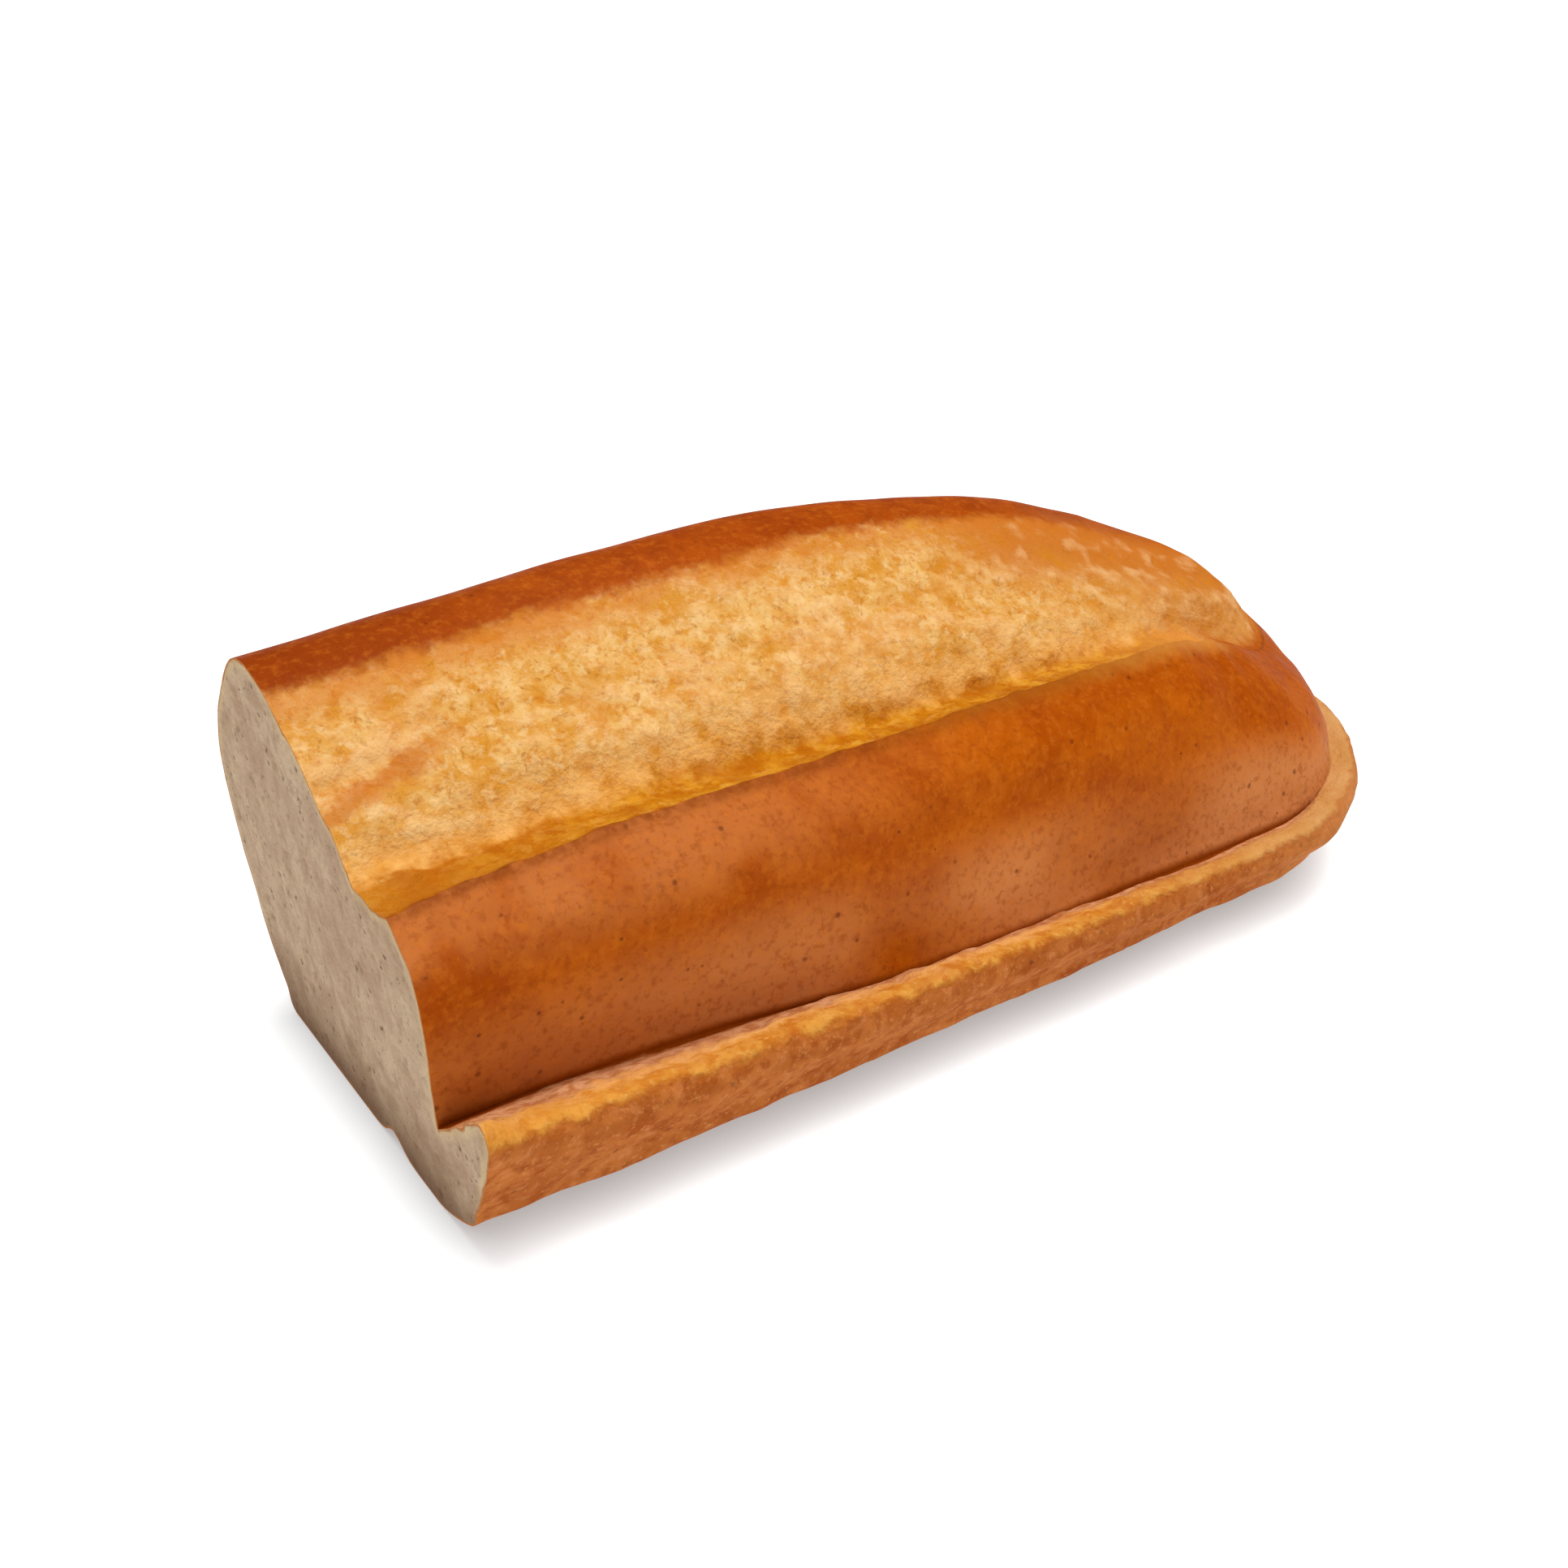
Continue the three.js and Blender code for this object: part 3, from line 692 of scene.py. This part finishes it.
    # a browner fold in the dome beside the cut
    fx = p.calc('SUBTRACT', across, p.calc('ADD', p.mul(along, .22), 13.6))
    fx = p.calc('ADD', fx, p.mul(p.calc('SUBTRACT', n3, .5), 4.0))
    seam = p.mul(p.step(p.calc('ABSOLUTE', fx), 2.0, .4), p.step(along, -59, -66))
    pale = p.blend(p.mul(seam, .65), pale, srgb(186, 98, 22))
    # browner where the dome meets the far crust
    fade = p.step(past, -6, -.2)
    pale = p.blend(p.mul(fade, p.step(n3, .26, .60), .8), pale, srgb(198, 112, 34))

    # amber shelf between the dark edge and the dome
    gold = p.blend(p.step(n3, .38, .62), srgb(186, 112, 12), srgb(206, 140, 34))
    gold = p.blend(p.mul(p.step(p.noise(2.0, 3, .6, .4, 59.0), .50, .64), .5), gold, srgb(216, 158, 66))
    gold = p.blend(p.mul(p.step(n15, .52, .68), .6), gold, srgb(168, 84, 2))
    gold = p.blend(p.mul(p.step(n07, .58, .72), .5), gold, srgb(212, 148, 56))
    gold = p.blend(p.mul(p.step(n6, .58, .36), .6), gold, srgb(168, 86, 6))
    gold = p.blend(p.mul(p.step(along, -44, -70), .5), gold, srgb(174, 92, 18))
    gold = p.blend(p.mul(p.step(p.add(ins, p.mul(p.calc('SUBTRACT', n3, .5), 2.0)), 1.3, .1), .72), gold, srgb(150, 72, 10))
    gold = p.blend(p.mul(tip, .75), gold, srgb(218, 144, 64))

    edge = p.calc('ADD', shelf, p.mul(p.calc('SUBTRACT', n3, .5), 4.4))
    edge = p.calc('ADD', edge, p.mul(p.calc('SUBTRACT', n15, .5), 2.0))
    on_dome = p.step(edge, -1.3, 1.3)
    # the dome is painted palest just above the shelf
    cream = p.mul(p.step(edge, 5.5, .8), p.step(n3, .30, .62), p.step(along, 50, 20))
    pale = p.blend(p.mul(cream, .55), pale, srgb(240, 190, 118))
    # the foot of the dome is warmer, where it turns down to the shelf
    pale = p.blend(p.mul(p.step(edge, 3.4, .2), p.step(along, 44, 14), .5), pale, srgb(222, 148, 52))
    # round the tip the shelf runs out and the dome meets the edge
    on_dome = p.calc('MAXIMUM', on_dome, p.mul(p.step(rnd, .95, 1.3), p.step(p.add(ins, p.mul(p.calc('SUBTRACT', n3, .5), 3.5)), .8, 4.0)))
    top = p.blend(on_dome, gold, pale)
    reach = p.calc('ADD', ins, p.mul(p.calc('SUBTRACT', n3, .5), 1.1))
    loose = p.add(ins, p.mul(p.calc('SUBTRACT', n6, .5), 5.0), p.mul(p.calc('SUBTRACT', n15, .5), 2.4))
    at_tip = p.step(rnd, .98, 1.3)
    # toward the tip the amber runs a little way down over the edge
    runs = p.step(along, -30, 12)
    crisp_edge = p.add(p.mul(p.step(reach, -.15, .45), p.less(runs)), p.mul(p.step(reach, -1.9, .3), runs))
    open_ = p.add(p.mul(crisp_edge, p.less(at_tip)), p.mul(p.step(loose, -.4, 4.2), at_tip))
    colour = p.blend(open_, dark, top)
    over = p.calc('ADD', past, p.mul(p.calc('SUBTRACT', n6, .5), 3.0))
    over = p.calc('ADD', over, p.mul(p.calc('SUBTRACT', n15, .5), 2.2))
    crisp = p.step(over, -1.3, 1.2)
    vague = p.mul(p.step(over, -4.0, 4.5), .85)
    tipward = p.step(along, 22, 48)
    beyond_line = p.calc('ADD', p.mul(crisp, p.less(tipward)), p.mul(vague, tipward))
    colour = p.blend(p.mul(beyond_line, p.step(ring, 7.9, 8.0)), colour, dark)

    # the torn edge itself is painted darkest, in a thin line
    brink = p.mul(p.step(ring, 7.82, 7.96), p.step(ins, .75, .1), p.step(rnd, 1.25, .95), p.step(n15, .30, .60, .35, 1.0), p.step(along, 8, -24, .15, 1.0))
    colour = p.blend(p.mul(brink, .62), colour, srgb(122, 52, 4))

    # painted shade in the crease at the foot of the flank: a dark line and a wider, fainter shade
    jag = p.mul(p.calc('SUBTRACT', n3, .5), .5)
    foldn = p.calc('ADD', foldd, jag)
    near_side = p.step(rnd, 2.9, 2.3)
    shade = p.mul(p.step(foldn, -.05, .15), p.step(ring, 5.35, 4.98), near_side)
    wide_crease_shade = p.mul(p.step(ring, 4.9, 5.0), p.step(ring, 6.0, 5.1), p.step(along, -5, -45), near_side)
    colour = p.blend(p.mul(wide_crease_shade, .18), colour, srgb(128, 48, 0))
    colour = p.blend(p.mul(shade, .8), colour, srgb(124, 48, 0))
    # lip of the ledge: a rosy rim against the crease, then a torn honey band
    lipn = p.calc('ADD', lip, p.mul(p.calc('SUBTRACT', n3, .5), .8))
    lipn = p.calc('ADD', lipn, p.mul(p.calc('SUBTRACT', n15, .5), .3))
    round_tip = p.step(along, 30, 58)
    rim_c = p.blend(p.step(n15, .36, .62), srgb(176, 108, 62), srgb(206, 148, 104))
    before_fold = p.step(foldn, .15, -.1)
    rimz = p.mul(p.step(lipn, .8, 1.1), before_fold, p.step(ring, 5.2, 5.0), near_side)
    colour = p.blend(rimz, colour, rim_c)
    band = p.mul(p.step(lipn, -.28, .24), p.step(lipn, 1.25, .85), near_side)
    honey = p.blend(p.step(n3, .35, .62), srgb(192, 116, 34), srgb(210, 146, 62))
    honey = p.blend(p.mul(p.step(n15, .53, .70), .65), honey, srgb(176, 92, 16))
    honey = p.blend(p.mul(p.step(n07, .56, .72), .5), honey, srgb(224, 172, 98))
    honey = p.blend(p.mul(p.step(p.add(lipn, p.mul(p.calc('SUBTRACT', n15, .5), .8)), .5, .95), p.step(along, 20, -10), .7), honey, srgb(228, 172, 108))
    honey = p.blend(p.mul(p.step(p.noise(4.0, 3, .6, .4, 41.0), .50, .66), .35), honey, srgb(184, 104, 46))
    honey = p.blend(p.mul(p.step(along, -44, -68), .4), honey, srgb(224, 154, 64))
    smoothed = p.blend(p.step(n6, .35, .65), srgb(196, 140, 78), srgb(206, 154, 94))
    honey = p.blend(p.step(along, 0, 56), honey, smoothed)
    colour = p.blend(p.mul(band, .95), colour, honey)
    # outer wall and base, matt brown
    walls = p.blend(p.step(n6, .34, .64), srgb(166, 88, 34), srgb(184, 106, 48))
    walls = p.blend(p.mul(p.step(n3, .48, .66), .7), walls, srgb(152, 70, 22))
    walls = p.blend(p.mul(p.step(p.noise(1.4, 3, .55, .0, 43.0), .50, .68), .5), walls, srgb(138, 64, 22))
    walls = p.blend(p.mul(p.step(p.noise(1.6, 3, .55, .0, 47.0), .52, .70), .4), walls, srgb(202, 128, 76))
    walls = p.blend(p.mul(p.step(n07, .56, .72), .6), walls, srgb(202, 130, 72))
    walls = p.blend(p.mul(p.spots(2.2, .18, .3, 3.0, .35), .5), walls, srgb(100, 48, 18))
    walls = p.blend(p.mul(round_tip, .6), walls, srgb(206, 136, 76))
    low = p.mul(p.step(lipn, .24, -.28), p.step(rnd, 2.9, 2.2))
    wave = p.calc('ADD', ring, p.mul(p.calc('SUBTRACT', n3, .5), .55))
    low = p.calc('MAXIMUM', low, p.mul(p.step(p.add(wave, p.mul(p.calc('SUBTRACT', n6, .5), 1.6)), 3.7, 2.5), p.step(rnd, 2.2, 2.9)))
    colour = p.blend(low, colour, walls)
    foot = p.blend(p.step(n6, .34, .66), srgb(150, 90, 46), srgb(170, 112, 66))
    foot = p.blend(p.mul(p.step(n15, .54, .70), .5), foot, srgb(124, 68, 28))
    colour = p.blend(p.step(wave, 1.5, .95), colour, foot)

    p.put(p.bsdf.inputs["Base Color"], colour)
    shine = p.mul(p.step(ring, 4.9, 5.3), p.less(p.mul(p.step(reach, -.1, .5), p.less(beyond_line))))
    p.put(p.bsdf.inputs["Roughness"], p.calc('ADD', p.mul(shine, -.26), p.step(n3, .3, .7, .72, .84)))
    p.bsdf.inputs["Specular IOR Level"].default_value = .028
    h = p.add(p.mul(n07, .55), p.mul(n15, .8), p.mul(n3, .5))
    torn = p.calc('MAXIMUM', p.mul(p.step(reach, -.1, .5), p.less(beyond_line)), band)
    h = p.mul(h, p.add(.22, p.mul(torn, .78), p.mul(low, .25)))
    h = p.calc('SUBTRACT', h, p.mul(specks, .18))
    p.relief(h, .5, .8)
    return p.material


def make_crumb():
    p = Paint("soft_crumb")
    gap_ = p.attr("rim_gap")
    split = p.node("ShaderNodeSeparateXYZ")
    p.put(split.inputs[0], p.mm)
    height = split.outputs[2]
    n12 = p.noise(12, 2, .5, 0, 1.0)
    n5 = p.noise(5, 3, .55, .3, 3.0)
    n2 = p.noise(2.0, 3, .6, .2, 5.0, (1, 1, 1.8))
    n09 = p.noise(.9, 3, .6, 0, 7.0)
    colour = p.blend(p.step(n5, .34, .66), srgb(196, 164, 133), srgb(212, 183, 150))
    colour = p.blend(p.mul(p.step(n2, .48, .66), .6), colour, srgb(180, 146, 114))
    colour = p.blend(p.mul(p.step(n12, .48, .64), .4), colour, srgb(186, 150, 122))
    colour = p.blend(p.mul(p.step(n09, .56, .70), .5), colour, srgb(166, 134, 102))
    # painted shade: the crumb is painted darker and browner toward the bottom of the cut face, where little light
    # reaches it
    low = p.step(p.calc('ADD', height, p.mul(p.calc('SUBTRACT', n5, .5), 7.0)), 14, 1)
    colour = p.blend(p.mul(low, .85), colour, srgb(146, 112, 82))
    crumb_bottom_shade = p.mul(p.step(p.calc('ADD', height, p.mul(p.calc('SUBTRACT', n2, .5), 5.0)), 5, 0), .6)
    colour = p.blend(crumb_bottom_shade, colour, srgb(112, 78, 52))
    # painted shade in the pores: the crumb is painted darker where the holes are
    pores = p.calc('MAXIMUM', p.spots(2.4, .17, .25, 2.0, .55), p.mul(p.spots(1.3, .22, .3, 6.0, .45), .6))
    colour = p.blend(p.mul(pores, .6), colour, srgb(118, 92, 68))
    wave = p.calc('ADD', gap_, p.mul(p.calc('SUBTRACT', n2, .5), .8))
    colour = p.blend(p.mul(p.step(wave, 1.8, .5), p.step(height, 6, 14), .5), colour, srgb(226, 196, 146))
    colour = p.blend(p.mul(p.step(wave, .42, .12), .9), colour, srgb(190, 114, 44))
    p.put(p.bsdf.inputs["Base Color"], colour)
    p.bsdf.inputs["Roughness"].default_value = .92
    p.bsdf.inputs["Specular IOR Level"].default_value = .2
    h = p.add(p.mul(n09, .7), p.mul(n2, .6), p.mul(pores, -.8))
    p.relief(h, .5, .8)
    return p.material


mesh.materials.append(make_crust())
mesh.materials.append(make_crumb())
mesh.polygons.foreach_set("material_index", slots)
mesh.update()

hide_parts("bread_roll")
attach(loaf_piece, "root")

# ---------------------------------------------------------------------------
# Pale floor, soft light, camera
# ---------------------------------------------------------------------------
floor_mesh = bpy.data.meshes.new("studio_floor")
F = 9.0
floor_mesh.from_pydata([(-F, -F, 0), (F, -F, 0), (F, F, 0), (-F, F, 0)], [], [(0, 1, 2, 3)])
floor = bpy.data.objects.new("studio_floor", floor_mesh)
bpy.context.scene.collection.objects.link(floor)
fm = bpy.data.materials.new("pale_floor")
fm.use_nodes = True
fb = fm.node_tree.nodes["Principled BSDF"]
fb.inputs["Base Color"].default_value = (.32, .335, .345, 1)
fb.inputs["Emission Color"].default_value = (1, 1, 1, 1)
# the floor glows to stay white, and glows less within 5 mm of the loaf: a painted contact shadow driven by ambient
# occlusion
near = fm.node_tree.nodes.new("ShaderNodeAmbientOcclusion")
near.inputs["Distance"].default_value = .005
near.samples = 8
floor_glow = fm.node_tree.nodes.new("ShaderNodeMapRange")
floor_glow.inputs["From Min"].default_value = .2
floor_glow.inputs["From Max"].default_value = 1.0
floor_glow.inputs["To Min"].default_value = .36
floor_glow.inputs["To Max"].default_value = .85
fm.node_tree.links.new(near.outputs["AO"], floor_glow.inputs["Value"])
fm.node_tree.links.new(floor_glow.outputs[0], fb.inputs["Emission Strength"])
fb.inputs["Roughness"].default_value = .95
fb.inputs["Specular IOR Level"].default_value = .1
floor_mesh.materials.append(fm)
floor.location.z = lo[2] - .0002

world = bpy.data.worlds.new("studio_world")
world.use_nodes = True
wt = world.node_tree
soft_sky = wt.nodes["Background"]
soft_sky.inputs["Color"].default_value = (1, 1, 1, 1)
soft_sky.inputs["Strength"].default_value = .22
# the empty studio behind the floor is plain white
white = wt.nodes.new("ShaderNodeBackground")
white.inputs["Color"].default_value = (1, 1, 1, 1)
white.inputs["Strength"].default_value = 1.0
rays = wt.nodes.new("ShaderNodeLightPath")
both = wt.nodes.new("ShaderNodeMixShader")
wt.links.new(rays.outputs["Is Camera Ray"], both.inputs[0])
wt.links.new(soft_sky.outputs[0], both.inputs[1])
wt.links.new(white.outputs[0], both.inputs[2])
wt.links.new(both.outputs[0], wt.nodes["World Output"].inputs["Surface"])
bpy.context.scene.world = world


def sun(name, direction, power, angle, colour=(1, 1, 1)):
    # direction: from the loaf toward the light
    data = bpy.data.lights.new(name, 'SUN')
    data.energy = power
    data.angle = math.radians(angle)
    data.color = colour
    ob = bpy.data.objects.new(name, data)
    ob.rotation_euler = Vector(direction).to_track_quat('Z', 'Y').to_euler()
    bpy.context.scene.collection.objects.link(ob)


sun("soft_key", (.07, .02, 1.0), 2.8, 40)
sun("soft_fill", (.10, -1.0, .60), .85, 60)

RIGHT = Vector((0.8031, -0.5959, 0.0))
UP = Vector((0.2612, 0.3521, 0.8988))
FORWARD = Vector((0.5356, 0.7218, -0.4384))
eye = (np.array([-63.069, -144.339, 122.733]) + SHIFT) / 1000.0
cam_data = bpy.data.cameras.new("camera")
cam_data.sensor_width = 36.0
cam_data.lens = 2300.0 / 1932.0 * 36.0
cam_data.clip_start = .01
cam_data.clip_end = 50.0
cam = bpy.data.objects.new("camera", cam_data)
m = Matrix.Identity(4)
for i, axis in enumerate((RIGHT.normalized(), UP.normalized(), -FORWARD.normalized())):
    for r in range(3):
        m[r][i] = axis[r]
for r in range(3):
    m[r][3] = float(eye[r])
cam.matrix_world = m
bpy.context.scene.collection.objects.link(cam)
bpy.context.scene.camera = cam

view = bpy.context.scene.view_settings
view.view_transform = 'Standard'
view.look = 'None'
view.exposure = 0.0
view.gamma = 1.0
